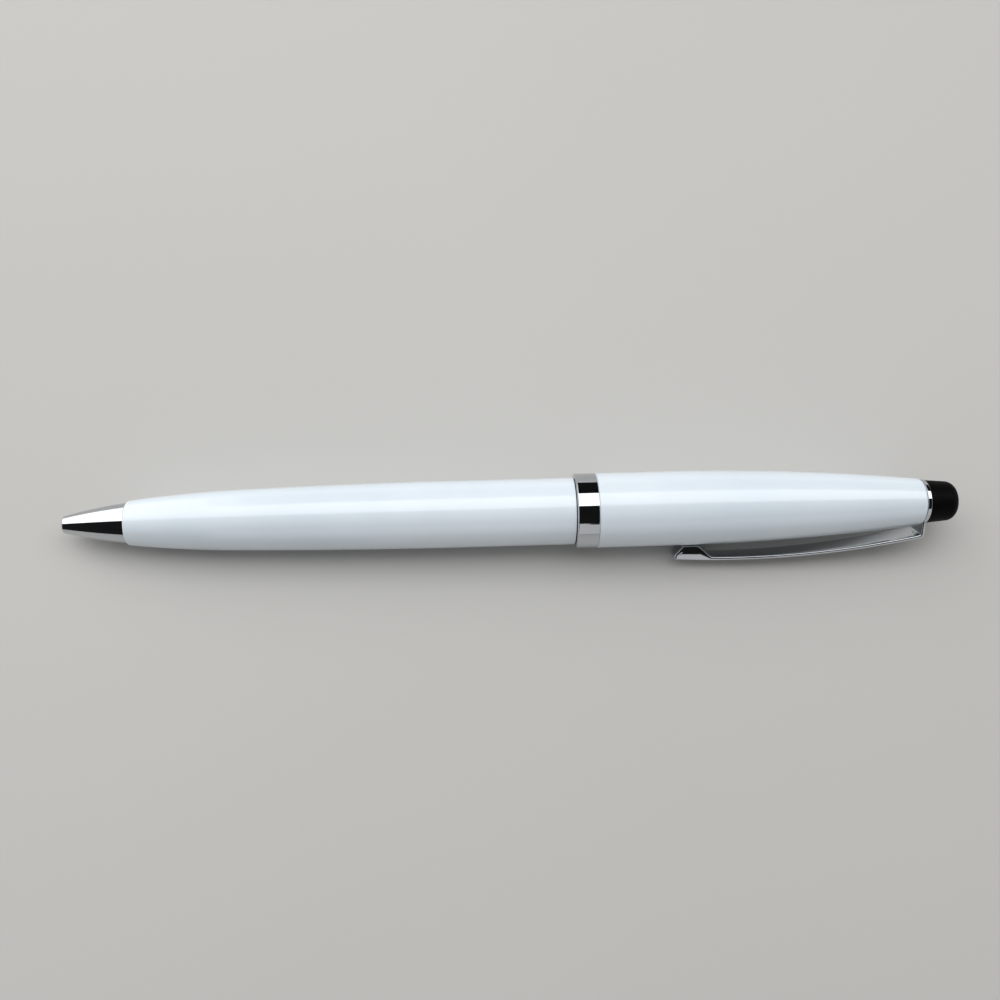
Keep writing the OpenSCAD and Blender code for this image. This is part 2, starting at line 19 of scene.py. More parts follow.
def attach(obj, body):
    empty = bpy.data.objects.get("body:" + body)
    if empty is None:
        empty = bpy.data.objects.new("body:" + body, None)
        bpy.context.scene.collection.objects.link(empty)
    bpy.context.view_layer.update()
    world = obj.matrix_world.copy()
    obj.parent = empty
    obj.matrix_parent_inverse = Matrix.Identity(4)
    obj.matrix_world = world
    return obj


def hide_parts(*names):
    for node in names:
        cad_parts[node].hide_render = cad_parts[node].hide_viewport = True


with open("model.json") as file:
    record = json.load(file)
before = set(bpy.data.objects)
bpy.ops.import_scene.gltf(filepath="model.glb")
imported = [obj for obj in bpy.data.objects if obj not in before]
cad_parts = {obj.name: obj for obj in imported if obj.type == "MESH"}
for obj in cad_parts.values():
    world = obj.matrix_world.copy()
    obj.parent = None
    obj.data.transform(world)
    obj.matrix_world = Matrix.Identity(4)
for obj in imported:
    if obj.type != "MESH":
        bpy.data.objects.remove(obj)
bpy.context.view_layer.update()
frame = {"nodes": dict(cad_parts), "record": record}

# A millimetre in the frame's metres, and the millimetres from the nose edge to the twist seam.
MM = 0.001
SEAM = 77.7
# Edges that turn further than this stay sharp in the shading.
SHARP_ANGLE = math.radians(32)
# Cloudy noise lies mostly between these values, so a drift of colour or of roughness is spread over them.
COLOUR_STOPS = (0.35, 0.65)
ROUGHNESS_STOPS = (0.3, 0.7)
NOISE_DETAIL = 3.0
# A wave texture of scale 1 has a pitch of a tenth of pi. The rings of a turning tool waver a little.
WAVE_PITCH = math.pi / 10
RING_WAVER = 0.4
RING_DETAIL = 1.0
SLOT_OF = {part["node"]: part["material_slot"] for part in frame["record"]["subparts"]}
BODY_OF = {node: body for body, nodes in frame["record"]["behaviour"]["bodies"].items() for node in nodes}

log = logging.getLogger("pen")


def linear(colour: str) -> tuple[float, float, float, float]:
    """Turns an sRGB hex value to linear light, by the curve of the sRGB standard.

    Args:
        colour: The value, such as "#f1f2f3".

    Returns:
        Red, green, blue and a full alpha.
    """
    parts = [int(colour[i : i + 2], 16) / 255 for i in (1, 3, 5)]
    red, green, blue = (c / 12.92 if c <= 0.04045 else ((c + 0.055) / 1.055) ** 2.4 for c in parts)
    return red, green, blue, 1.0


def add_node(
    tree: bpy.types.NodeTree, kind: str, inputs: dict[str | int, object] | None = None, **settings: object
) -> bpy.types.Node:
    """Adds a node with its settings and links.

    Args:
        tree: The node tree that it goes in.
        kind: Blender's name of the node.
        inputs: A number, colour or output socket for each named or numbered input.
        settings: Properties of the node itself.

    Returns:
        The new node.
    """
    node = tree.nodes.new(kind)
    for name, value in settings.items():
        setattr(node, name, value)
    for key, value in (inputs or {}).items():
        if isinstance(value, bpy.types.NodeSocket):
            tree.links.new(value, node.inputs[key])
        else:
            node.inputs[key].default_value = value
    return node


class Relief(Enum):
    """How a surface was made, and the texture that draws its fine relief."""

    GRAIN = "ShaderNodeTexNoise"
    TURNING = "ShaderNodeTexWave"


def add_pattern(
    tree: bpy.types.NodeTree, place: bpy.types.NodeSocket, relief: Relief, size: float
) -> bpy.types.NodeSocket:
    """Adds a pattern of a real size.

    Args:
        tree: The material's node tree.
        place: The coordinates that it reads.
        relief: A cloudy grain, or the rings that a turning tool leaves round the pen's axis.
        size: The size of its clouds, or the pitch of its rings, in millimetres.

    Returns:
        The pattern, from 0 to 1.
    """
    inputs: dict[str | int, object] = {"Scale": 1 / (size * MM), "Detail": NOISE_DETAIL}
    settings: dict[str, object] = {}
    if relief is Relief.TURNING:
        inputs = {"Scale": WAVE_PITCH / (size * MM), "Distortion": RING_WAVER, "Detail": RING_DETAIL}
        settings = {"wave_type": "BANDS", "bands_direction": "X"}
    return add_node(tree, relief.value, {"Vector": place, **inputs}, **settings).outputs["Fac"]


@dataclass(frozen=True)
class Finish:
    """A surface and what it shows to the eye.

    Sizes are in millimetres. The colour drifts slowly towards a second one, the roughness wanders by its
    spread in smears, and the relief is a grain or the rings that a turning tool leaves.
    """

    name: str
    colour: str
    drift: str
    drift_size: float
    roughness: float
    spread: float
    smear_size: float
    relief: Relief
    relief_size: float
    relief_height: float
    metallic: float = 0.0
    ior: float = 1.5
    specular: float = 0.5
    coat: float = 0.0
    coat_roughness: float = 0.03

    def material(self) -> bpy.types.Material:
        """Returns the finish's material, made at its first use."""
        made = bpy.data.materials.get(self.name)
        if made is None:
            made = bpy.data.materials.new(self.name)
            made.use_nodes = True
            self._draw(made.node_tree)
        return made

    def _draw(self, tree: bpy.types.NodeTree) -> None:
        """Draws the shader in an empty tree.

        Args:
            tree: The material's node tree.
        """
        tree.nodes.clear()
        place = add_node(tree, "ShaderNodeTexCoord").outputs["Object"]
        drift = add_pattern(tree, place, Relief.GRAIN, self.drift_size)
        smears = add_pattern(tree, place, Relief.GRAIN, self.smear_size)
        height = add_pattern(tree, place, self.relief, self.relief_size)
        ramp = add_node(tree, "ShaderNodeValToRGB", {"Fac": drift})
        for stop, at, colour in zip(ramp.color_ramp.elements, COLOUR_STOPS, (self.colour, self.drift)):
            stop.position, stop.color = at, linear(colour)
        wander = add_node(tree, "ShaderNodeMapRange", {
            "Value": smears, "From Min": ROUGHNESS_STOPS[0], "From Max": ROUGHNESS_STOPS[1],
            "To Min": self.roughness - self.spread, "To Max": self.roughness + self.spread,
        })
        bump = add_node(tree, "ShaderNodeBump", {
            "Height": height, "Strength": 1.0, "Distance": self.relief_height * MM,
        })
        shader = add_node(tree, "ShaderNodeBsdfPrincipled", {
            "Base Color": ramp.outputs["Color"], "Roughness": wander.outputs["Result"],
            "Normal": bump.outputs["Normal"], "Metallic": self.metallic, "IOR": self.ior,
            "Specular IOR Level": self.specular, "Coat Weight": self.coat,
            "Coat Roughness": self.coat_roughness,
        })
        add_node(tree, "ShaderNodeOutputMaterial", {"Surface": shader.outputs["BSDF"]})


FINISHES = {
    # Clear-coated white lacquer on a tube: a cool even white under a hard gloss, with faint orange peel.
    "white_lacquer": Finish(
        "sprayed_white_lacquer", "#e6f0f8", "#e0ebf4", drift_size=16, roughness=0.34, spread=0.05,
        smear_size=6, relief=Relief.GRAIN, relief_size=0.9, relief_height=0.0012,
        coat=1.0, coat_roughness=0.025,
    ),
    # Bright chrome over polished brass: a mirror with faint wipe marks.
    "chrome_plate": Finish(
        "polished_chrome_plate", "#cbced1", "#c3c7cb", drift_size=7, roughness=0.045, spread=0.025,
        smear_size=3, relief=Relief.GRAIN, relief_size=3, relief_height=0.0005, metallic=1.0,
    ),
    # Moulded end with a soft skin that swallows nearly all light. The real grain is finer, too fine to show.
    "black_plastic": Finish(
        "moulded_satin_black", "#040404", "#060606", drift_size=2, roughness=0.5, spread=0.06,
        smear_size=0.8, relief=Relief.GRAIN, relief_size=0.25, relief_height=0.004, ior=1.4, specular=0.07,
    ),
    # Turned brass, left bare inside the pen. Real tool marks are finer, too fine to show.
    "turned_brass": Finish(
        "turned_brass", "#c9a75b", "#b8954c", drift_size=4, roughness=0.26, spread=0.07, smear_size=1.5,
        relief=Relief.TURNING, relief_size=0.3, relief_height=0.004, metallic=1.0,
    ),
    # Natural nylon: milky, with the dull skin of its mould.
    "natural_nylon": Finish(
        "moulded_nylon", "#dcd8cc", "#d2cdbf", drift_size=5, roughness=0.5, spread=0.06, smear_size=1.2,
        relief=Relief.GRAIN, relief_size=0.3, relief_height=0.005, ior=1.53,
    ),
    # Soft black rubber ring with a dull skin.
    "black_rubber": Finish(
        "moulded_rubber", "#1c1c1c", "#232322", drift_size=1.5, roughness=0.7, spread=0.08, smear_size=0.6,
        relief=Relief.GRAIN, relief_size=0.2, relief_height=0.006, ior=1.52,
    ),
    # Ground spring steel: a grey sheen. Real grinding marks are finer, too fine to show.
    "spring_steel": Finish(
        "ground_spring_steel", "#aeb2b6", "#a2a6ab", drift_size=2, roughness=0.24, spread=0.06,
        smear_size=0.8, relief=Relief.TURNING, relief_size=0.2, relief_height=0.003, metallic=1.0,
    ),
    # Grey acetal, smooth from its mould.
    "grey_plastic": Finish(
        "moulded_acetal", "#3a3d42", "#34373b", drift_size=4, roughness=0.42, spread=0.06, smear_size=1.2,
        relief=Relief.GRAIN, relief_size=0.3, relief_height=0.004, ior=1.48,
    ),
    # Thick paste ink, wet and almost black.
    "ink": Finish(
        "ballpoint_ink", "#10131a", "#141824", drift_size=3, roughness=0.12, spread=0.04, smear_size=1,
        relief=Relief.GRAIN, relief_size=0.5, relief_height=0.002, ior=1.48,
    ),
    # Turned nickel silver, warmer than steel. Real tool marks are finer, too fine to show.
    "nickel_silver": Finish(
        "turned_nickel_silver", "#c2bfb7", "#b5b1a8", drift_size=2, roughness=0.2, spread=0.05,
        smear_size=0.8, relief=Relief.TURNING, relief_size=0.16, relief_height=0.002, metallic=1.0,
    ),
    # Sintered carbide ball, lapped to a dark mirror.
    "carbide": Finish(
        "lapped_carbide", "#8d9196", "#85898f", drift_size=0.5, roughness=0.1, spread=0.03, smear_size=0.2,
        relief=Relief.GRAIN, relief_size=0.1, relief_height=0.0005, metallic=1.0,
    ),
}
# Matt paper under the pen, pale and even.
FLOOR_PAPER = Finish(
    "matt_paper_sheet", "#c5c4c1", "#c1c0bd", drift_size=400, roughness=0.85, spread=0.05, smear_size=60,
    relief=Relief.GRAIN, relief_size=4, relief_height=0.002,
)
# Black cloth on the studio's flags, which gives back next to no light.
FLAG_CLOTH = Finish(
    "black_flag_cloth", "#0a0a0a", "#0c0c0c", drift_size=50, roughness=0.95, spread=0.02, smear_size=20,
    relief=Relief.GRAIN, relief_size=2, relief_height=0.01,
)


@dataclass(frozen=True)
class Station:
    """A corner of a turned outline, in millimetres.

    along is measured from the nose edge and radius from the axis. rounding is the radius of a worked edge.
    """

    along: float
    radius: float
    rounding: float = 0.0


def steps_between(start: float, end: float, count: int) -> list[float]:
    """Lists evenly spaced places.

    Args:
        start: The first place.
        end: The last place.
        count: The number of steps between them.

    Returns:
        count + 1 places.
    """
    return [start + (end - start) * i / count for i in range(count + 1)]


def arc(along: float, radius: float, size: float, start: float, end: float, count: int) -> list[Station]:
    """Lists the stations of an arc in a turned outline.

    Args:
        along: Where the arc's centre is along the pen.
        radius: The centre's distance from the axis.
        size: The arc's own radius.
        start: First angle in degrees, from straight out towards the pen's end.
        end: Last angle.
        count: The number of steps.

    Returns:
        count + 1 stations.
    """
    angles = [math.radians(a) for a in steps_between(start, end, count)]
    return [Station(along + size * math.sin(a), radius + size * math.cos(a)) for a in angles]


@dataclass(frozen=True)
class Lathe:
    """Turns outlines about the pen's axis. Sizes are in millimetres.

    support is the width of the narrow face beside a rounded edge, which keeps the shading of the long faces
    true. A line gets none where the rounding and the support would take more than largest_share of it.
    Points closer than merge become one.
    """

    steps: int = 192
    edge_segments: int = 6
    support: float = 0.03
    largest_share: float = 0.7
    merge: float = 1e-5

    def turn(self, outline: Sequence[Station]) -> bmesh.types.BMesh:
        """Turns an outline, which is closed unless it starts or ends on the axis.

        Args:
            outline: The stations in order.

        Returns:
            The mesh in millimetres, along X from the twist seam.
        """
        bm = bmesh.new()
        verts = [bm.verts.new((s.along - SEAM, 0.0, s.radius)) for s in outline]
        open_chain = min(outline[0].radius, outline[-1].radius) == 0
        for a, b in zip(verts, verts[1:] if open_chain else verts[1:] + verts[:1]):
            bm.edges.new((a, b))
        worked = [(v, s.rounding) for v, s in zip(verts, outline) if s.rounding]
        for vert, rounding in worked:
            for edge in list(vert.link_edges):
                share = (rounding + self.support) / edge.calc_length()
                if share < self.largest_share:
                    bmesh.utils.edge_split(edge, vert, share)
        for vert, rounding in worked:
            bmesh.ops.bevel(
                bm, geom=[vert], offset=rounding, offset_type="OFFSET", segments=self.edge_segments,
                profile=0.5, affect="VERTICES", material=-1,
            )
        bmesh.ops.spin(
            bm, geom=bm.verts[:] + bm.edges[:], cent=(0, 0, 0), axis=(1, 0, 0), angle=math.tau,
            steps=self.steps, use_merge=True,
        )
        bmesh.ops.remove_doubles(bm, verts=bm.verts[:], dist=self.merge)
        bmesh.ops.recalc_face_normals(bm, faces=bm.faces[:])
        return bm


def shade(bm: bmesh.types.BMesh) -> None:
    """Shades a mesh smooth, apart from its sharp edges.

    Args:
        bm: The mesh.
    """
    for face in bm.faces:
        face.smooth = True
    for edge in bm.edges:
        edge.smooth = edge.calc_face_angle(math.pi) < SHARP_ANGLE


def to_object(name: str, bm: bmesh.types.BMesh) -> bpy.types.Object:
    """Makes an object at the origin from a mesh, and frees the mesh.

    Args:
        name: The object's name.
        bm: The mesh.

    Returns:
        The object, linked to the scene.
    """
    mesh = bpy.data.meshes.new(name)
    bm.to_mesh(mesh)
    bm.free()
    made = bpy.data.objects.new(name, mesh)
    bpy.context.scene.collection.objects.link(made)
    return made


def lay(name: str, node: str, bm: bmesh.types.BMesh) -> bpy.types.Object:
    """Lays a finished mesh in the frame in place of a solid, with that solid's body and finish.

    Args:
        name: The piece's name.
        node: The solid that it stands for.
        bm: The mesh in millimetres, which is freed.

    Returns:
        The piece.
    """
    shade(bm)
    bmesh.ops.scale(bm, vec=(MM, MM, MM), verts=bm.verts[:])
    piece = to_object(name, bm)
    piece.data.materials.append(FINISHES[SLOT_OF[node]].material())
    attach(piece, BODY_OF[node])
    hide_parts(node)
    log.info("%s stands for %s, %d faces", name, node, len(piece.data.polygons))
    return piece


@dataclass(frozen=True)
class Barrel:
    """The white front half of the pen and the nose that screws into it. Sizes are in millimetres."""

    nose_length: float = 9.7
    nose_tip_r: float = 1.28
    nose_base_r: float = 3.13
    nose_swell: float = 0.18
    nose_lip: float = 0.16
    nose_hole_r: float = 0.875
    nose_guide_length: float = 2.0
    nose_relief_r: float = 1.3
    nose_chamber_r: float = 1.75
    nose_chamber: float = 7.6
    shank_r: float = 2.3
    shank_length: float = 8.0
    radius: float = 5.18
    straight: float = 17.4
    front_r: float = 3.42
    shoulder: float = 15.5
    belly_drop: float = 0.56
    wall: float = 0.5
    lip: float = 0.8
    front_edge: float = 0.26
    worked_edge: float = 0.06
    thread_gap: float = 0.005
    nose_steps: int = 40
    tube_steps: int = 80
    bore_steps: int = 40

    def nose_at(self, along: float) -> float:
        """Returns the nose's radius at a place along it."""
        t = along / self.nose_length
        return self.nose_tip_r + (self.nose_base_r - self.nose_tip_r) * t + 4 * self.nose_swell * t * (1 - t)

    def radius_at(self, along: float) -> float:
        """Returns the tube's radius at a place along the pen: a cylinder, a long belly and a shoulder.

        Args:
            along: The distance from the nose edge.

        Returns:
            The outside radius.
        """
        straight_from = SEAM - self.straight
        shoulder_to = self.nose_length + self.shoulder
        belly = straight_from - shoulder_to
        if along >= straight_from:
            return self.radius
        if along >= shoulder_to:
            return self.radius - self.belly_drop * ((straight_from - along) / belly) ** 2
        slope = 2 * self.belly_drop / belly
        bow = self.radius - self.belly_drop - slope * self.shoulder - self.front_r
        back = shoulder_to - along
        return self.radius - self.belly_drop - slope * back - bow * (back / self.shoulder) ** 2

    def nose(self, lathe: Lathe) -> bpy.types.Object:
        """Turns the polished nose.

        Args:
            lathe: What turns it.

        Returns:
            The piece.
        """
        end = self.nose_length + self.shank_length
        side = steps_between(2 * self.nose_lip, self.nose_length, self.nose_steps)[:-1]
        outline = [
            Station(0, self.nose_hole_r, self.worked_edge),
            Station(0, self.nose_tip_r, self.nose_lip),
            *(Station(s, self.nose_at(s)) for s in side),
            Station(self.nose_length, self.nose_base_r, self.worked_edge),
            Station(self.nose_length, self.shank_r),
            Station(end, self.shank_r, self.front_edge),
            Station(end, self.nose_chamber_r),
            Station(self.nose_chamber, self.nose_chamber_r),
            Station(self.nose_chamber - self.nose_chamber_r + self.nose_relief_r, self.nose_relief_r),
            Station(self.nose_guide_length + self.nose_relief_r - self.nose_hole_r, self.nose_relief_r),
            Station(self.nose_guide_length, self.nose_hole_r),
        ]
        return lay("polished_nose", "nose_cone", lathe.turn(outline))

    def tube(self, lathe: Lathe) -> bpy.types.Object:
        """Turns the lacquered tube.

        Args:
            lathe: What turns it.

        Returns:
            The piece.
        """
        front, inside = self.nose_length, self.nose_length + self.lip
        curve = steps_between(front + 2 * self.front_edge, SEAM - self.straight, self.tube_steps)
        hollow = steps_between(SEAM - self.straight, inside, self.bore_steps)
        outline = [
            Station(front, self.shank_r + self.thread_gap),
            Station(front, self.front_r, self.front_edge),
            *(Station(s, self.radius_at(s)) for s in curve),
            Station(SEAM, self.radius, self.worked_edge),
            Station(SEAM, self.radius - self.wall),
            *(Station(s, self.radius_at(s) - self.wall) for s in hollow),
            Station(inside, self.shank_r + self.thread_gap),
        ]
        return lay("lacquered_barrel", "barrel_shell", lathe.turn(outline))

    def build(self, lathe: Lathe) -> None:
        """Builds the nose and the tube.

        Args:
            lathe: What turns them.
        """
        self.nose(lathe)
        self.tube(lathe)


@dataclass(frozen=True)
class Cap:
    """The turning rear half: the band, the white cap and the black end. Sizes are in millimetres."""

    band_start: float = 77.8
    band_length: float = 3.4
    radius: float = 5.79
    bevel: float = 0.2
    groove: float = 0.12
    spigot: float = 3.6
    band_bore_r: float = 4.54
    length: float = 51.0
    straight: float = 11.0
    end_r: float = 3.63
    wall: float = 0.5
    lip: float = 0.7
    rear_edge: float = 0.45
    stud_hole_r: float = 1.6
    ring_thickness: float = 0.6
    dome_length: float = 5.2
    dome_base_r: float = 3.38
    dome_corner_r: float = 3.1
    dome_corner: float = 1.6
    dome_radius: float = 5.2
    stud_r: float = 1.505
    stud_depth: float = 3.4
    press_gap: float = 0.005
    worked_edge: float = 0.05
    taper_steps: int = 64
    bore_steps: int = 40
    corner_steps: int = 18
    dome_steps: int = 16

    @property
    def start(self) -> float:
        """Where the cap meets the band."""
        return self.band_start + self.band_length

    @property
    def ring(self) -> float:
        """Where the cap ends and the clip's ring begins."""
        return self.start + self.length

    @property
    def end(self) -> float:
        """Where the clip's ring ends and the black end begins."""
        return self.ring + self.ring_thickness

    def radius_at(self, along: float) -> float:
        """Returns the cap's radius at a place along the pen."""
        taper = max(0.0, along - self.start - self.straight) / (self.length - self.straight)
        return self.radius - (self.radius - self.end_r) * taper**2

    def band(self, lathe: Lathe) -> bpy.types.Object:
        """Turns the polished band.

        Args:
            lathe: What turns it.

        Returns:
            The piece.
        """
        bore_r = self.radius - self.wall - self.press_gap
        tail = self.start + self.spigot
        outline = [
            Station(self.band_start, self.band_bore_r, self.worked_edge),
            Station(self.band_start, self.radius - self.bevel, self.worked_edge),
            Station(self.band_start + self.bevel, self.radius, self.worked_edge),
            Station(self.start - self.groove, self.radius, self.worked_edge / 2),
            Station(self.start, self.radius - self.groove),
            Station(self.start, bore_r),
            Station(tail, bore_r),
            Station(tail, self.band_bore_r),
        ]
        return lay("polished_band", "center_band", lathe.turn(outline))

    def tube(self, lathe: Lathe) -> bpy.types.Object:
        """Turns the lacquered cap.

        Args:
            lathe: What turns it.

        Returns:
            The piece.
        """
        taper_start = self.start + self.straight
        taper = steps_between(taper_start, self.ring - 2 * self.rear_edge, self.taper_steps)
        inside = steps_between(self.ring - self.lip, taper_start, self.bore_steps)
        outline = [
            Station(self.start, self.radius - self.wall),
            Station(self.start, self.radius - self.groove),
            Station(self.start + self.groove, self.radius, self.worked_edge),
            *(Station(s, self.radius_at(s)) for s in taper),
            Station(self.ring, self.end_r, self.rear_edge),
            Station(self.ring, self.stud_hole_r),
            Station(self.ring - self.lip, self.stud_hole_r),
            *(Station(s, self.radius_at(s) - self.wall) for s in inside),
        ]
        return lay("lacquered_cap", "cap_shell", lathe.turn(outline))

    def dome(self, lathe: Lathe) -> bpy.types.Object:
        """Turns the black end with its rounded corner and shallow dome.

        Args:
            lathe: What turns it.

        Returns:
            The piece.
        """
        tip = self.end + self.dome_length
        dome_centre = tip - self.dome_radius
        corner_r = self.dome_corner_r - self.dome_corner
        reach = self.dome_radius - self.dome_corner
        apart = math.sqrt(reach**2 - corner_r**2)
        meet = math.degrees(math.asin(apart / reach))
        corner_centre = dome_centre + apart
        lean = math.degrees(math.atan((self.dome_base_r - self.dome_corner_r) / (corner_centre - self.end)))
        bottom = self.end + self.stud_depth
        outline = [
            Station(bottom, 0),
            Station(bottom, self.stud_r),
            Station(self.end, self.stud_r),
            Station(self.end, self.dome_base_r, 2 * self.worked_edge),
            *arc(corner_centre, corner_r, self.dome_corner, lean, meet, self.corner_steps),
            *arc(dome_centre, 0, self.dome_radius, meet, 90, self.dome_steps)[1:-1],
            Station(tip, 0),
        ]
        return lay("domed_end", "end_cap", lathe.turn(outline))

    def build(self, lathe: Lathe) -> None:
        """Builds the band, the cap and the end.

        Args:
            lathe: What turns them.
        """
        self.band(lathe)
        self.tube(lathe)
        self.dome(lathe)


def soft_larger(a: float, b: float, size: float) -> float:
    """Finds the larger of two heights, with the corner between their lines rounded.

    Args:
        a: One height.
        b: The other one.
        size: The difference of heights over which the corner is rounded.

    Returns:
        The larger height, or slightly more near the corner.
    """
    near = max(size - abs(a - b), 0.0) / size
    return max(a, b) + near**2 * size / 4


def round_edges(
    bm: bmesh.types.BMesh, edges: Sequence[bmesh.types.BMEdge], size: float, segments: int
) -> None:
    """Rounds edges of a mesh.

    Args:
        bm: The mesh.
        edges: The edges.
        size: The rounding in millimetres.
        segments: The number of faces across it.
    """
    bmesh.ops.bevel(
        bm, geom=edges, offset=size, offset_type="OFFSET", segments=segments, profile=0.5, affect="EDGES",
        material=-1, clamp_overlap=True,
    )


def unite(first: bpy.types.Object, second: bpy.types.Object) -> bmesh.types.BMesh:
    """Joins two closed meshes that overlap to one skin, and removes their objects.

    Args:
        first: One object.
        second: The other one.

    Returns:
        The joined mesh.
    """
    join = first.modifiers.new("join", "BOOLEAN")
    join.operation, join.solver, join.object = "UNION", "EXACT", second
    bm = bmesh.new()
    bm.from_object(first, bpy.context.evaluated_depsgraph_get())
    for part in (first, second):
        mesh = part.data
        bpy.data.objects.remove(part)
        bpy.data.meshes.remove(mesh)
    return bm


@dataclass(frozen=True)
class Clip:
    """The sprung clip, one strip with its foot and its ring. Sizes are in millimetres, angles in degrees.

    A place on the strip is its distance along the pen and its height over the pen's axis. lean is how far
    below the horizontal it stands out, and across is the number of faces over its width. The last section
    before the free end is end_run away from it, which leaves room for the rounded corners. Edges that turn
    further than rim_angle are rims.
    """

    ring_start: float = 132.2
    thickness: float = 0.6
    ring_r: float = 3.48
    ring_hole_r: float = 1.6
    ring_edge: float = 0.12
    length: float = 38.7
    root_half: float = 2.2
    end_half: float = 1.4
    end_run: float = 0.75
    corner: float = 0.6
    rim: float = 0.2
    rim_angle: float = 30.0
    reach: float = 8.42
    root_reach: float = 5.42
    crest: float = 29.6
    bend: float = 0.9
    crown: float = 0.06
    foot_height: float = 5.86
    foot_length: float = 5.8
    foot_top: float = 2.4
    foot_lead: float = 1.4
    foot_round: float = 0.4
    lean: float = 34.27
    across: int = 4
    leg_steps: int = 6
    bend_steps: int = 12
    bow_steps: int = 60
    foot_steps: int = 52
    corner_segments: int = 8
    rim_segments: int = 5

    @property
    def arc_radius(self) -> float:
        """Radius of the bow of the outer face."""
        drop = self.reach - self.root_reach
        return (self.crest**2 + drop**2) / (2 * drop)

    @property
    def crest_at(self) -> float:
        """Where the bow is highest."""
        return self.ring_start - self.crest

    @property
    def tip_at(self) -> float:
        """Where the free end is."""
        return self.ring_start - self.length

    def outer(self, along: float) -> float:
        """Returns the height of the outer face at a place along the pen."""
        return self.reach - self.arc_radius + math.sqrt(self.arc_radius**2 - (along - self.crest_at) ** 2)

    def inner(self, along: float) -> float:
        """Returns the height of the inner face, which the foot brings down to the cap.

        Args:
            along: The distance from the nose edge.

        Returns:
            The height over the pen's axis.
        """
        strip = self.outer(along) - self.thickness
        rise = strip - self.foot_height
        front = self.tip_at + self.foot_lead
        back = front + self.foot_top
        tail = self.tip_at + self.foot_length - back
        foot = self.foot_height
        for share in ((front - along) / self.foot_lead, (along - back) / tail):
            foot = soft_larger(foot, self.foot_height + rise * share, self.foot_round)
        return -soft_larger(-strip, -foot, self.foot_round)

    def half_width(self, along: float) -> float:
        """Returns half the strip's width at a place along the pen."""
        return self.end_half + (self.root_half - self.end_half) * (along - self.tip_at) / self.length

    def path(self) -> list[tuple[Vector, Vector, float]]:
        """Lists the strip's sections from inside the ring, over the bend and along the bow to the free end.

        Returns:
            The outer and the inner place of each section, and half its width.
        """
        end = self.ring_start + self.thickness
        size = self.arc_radius
        bend_at = (end - self.bend - self.bend * self.crest_at / size) / (1 - self.bend / size)
        lean = math.asin((bend_at - self.crest_at) / size)
        centre = Vector((
            bend_at - self.bend * math.sin(lean), self.outer(bend_at) - self.bend * math.cos(lean),
        ))
        heights = steps_between((self.ring_hole_r + self.ring_r) / 2, centre.y, self.leg_steps)[:-1]
        leg = [(Vector((end, h)), Vector((self.ring_start, h))) for h in heights]
        angles = steps_between(math.pi / 2, lean, self.bend_steps)
        ways = [Vector((math.sin(a), math.cos(a))) for a in angles]
        turn = [(centre + self.bend * way, centre + (self.bend - self.thickness) * way) for way in ways]
        foot_end = self.tip_at + self.foot_length + self.foot_round
        places = [
            *steps_between(turn[-1][1].x, foot_end, self.bow_steps)[1:],
            *steps_between(foot_end, self.tip_at + self.end_run, self.foot_steps)[1:],
            self.tip_at,
        ]
        bow = [(Vector((s, self.outer(s))), Vector((s, self.inner(s)))) for s in places]
        return [(out, low, self.half_width(min(out.x, self.ring_start))) for out, low in leg + turn + bow]

    def strip(self) -> bmesh.types.BMesh:
        """Forms the strip: a section drawn along the path, closed at both ends and softened at its edges.

        Returns:
            The mesh in millimetres, with the clip upright over the axis.
        """
        bm = bmesh.new()
        shares = steps_between(-1, 1, self.across)
        corners = [(share, 0) for share in shares] + [(share, 1) for share in reversed(shares)]
        sections = self.path()
        rings = [[bm.verts.new((0, share, -side)) for share, side in corners]]
        edges = first = [bm.edges.new(pair) for pair in zip(rings[0], rings[0][1:] + rings[0][:1])]
        for _ in sections[1:]:
            made = bmesh.ops.extrude_edge_only(bm, edges=edges)["geom"]
            fresh = {g for g in made if isinstance(g, bmesh.types.BMVert)}
            edges = [g for g in made if isinstance(g, bmesh.types.BMEdge) and fresh.issuperset(g.verts)]
            rings.append([
                next(e.other_vert(v) for e in v.link_edges if e.other_vert(v) in fresh) for v in rings[-1]
            ])
        for ring, (out, low, half) in zip(rings, sections):
            inward = (low - out).normalized()
            for vert, (share, side) in zip(ring, corners):
                place = low if side else out + inward * self.crown * share**2
                vert.co = (place.x - SEAM, share * half, place.y)
        bmesh.ops.edgeloop_fill(bm, edges=first)
        bmesh.ops.edgeloop_fill(bm, edges=edges)
        bmesh.ops.recalc_face_normals(bm, faces=bm.faces[:])
        tip = rings[-1]
        uprights = [(tip[0], tip[-1]), (tip[self.across], tip[self.across + 1])]
        round_edges(bm, [bm.edges.get(pair) for pair in uprights], self.corner, self.corner_segments)
        rim = [edge for edge in bm.edges if edge.calc_face_angle(0) > math.radians(self.rim_angle)]
        round_edges(bm, rim, self.rim, self.rim_segments)
        return bm

    def build(self, lathe: Lathe) -> None:
        """Joins the strip and the ring to one piece.

        Args:
            lathe: What turns the ring.
        """
        end = self.ring_start + self.thickness
        ring = lathe.turn([
            Station(self.ring_start, self.ring_hole_r),
            Station(self.ring_start, self.ring_r, self.ring_edge),
            Station(end, self.ring_r, self.ring_edge),
            Station(end, self.ring_hole_r),
        ])
        strip = self.strip()
        # A quarter turn lays the upright strip level, and its lean takes it below the horizontal.
        stand = Matrix.Rotation(math.radians(90 + self.lean), 4, "X")
        bmesh.ops.transform(strip, matrix=stand, verts=strip.verts[:])
        joined = unite(to_object("clip_strip", strip), to_object("clip_ring", ring))
        piece = lay("sprung_clip", "clip", joined)
        # Keeps the shading of the wide faces true beside the rounded rims.
        piece.modifiers.new("true_faces", "WEIGHTED_NORMAL").keep_sharp = True


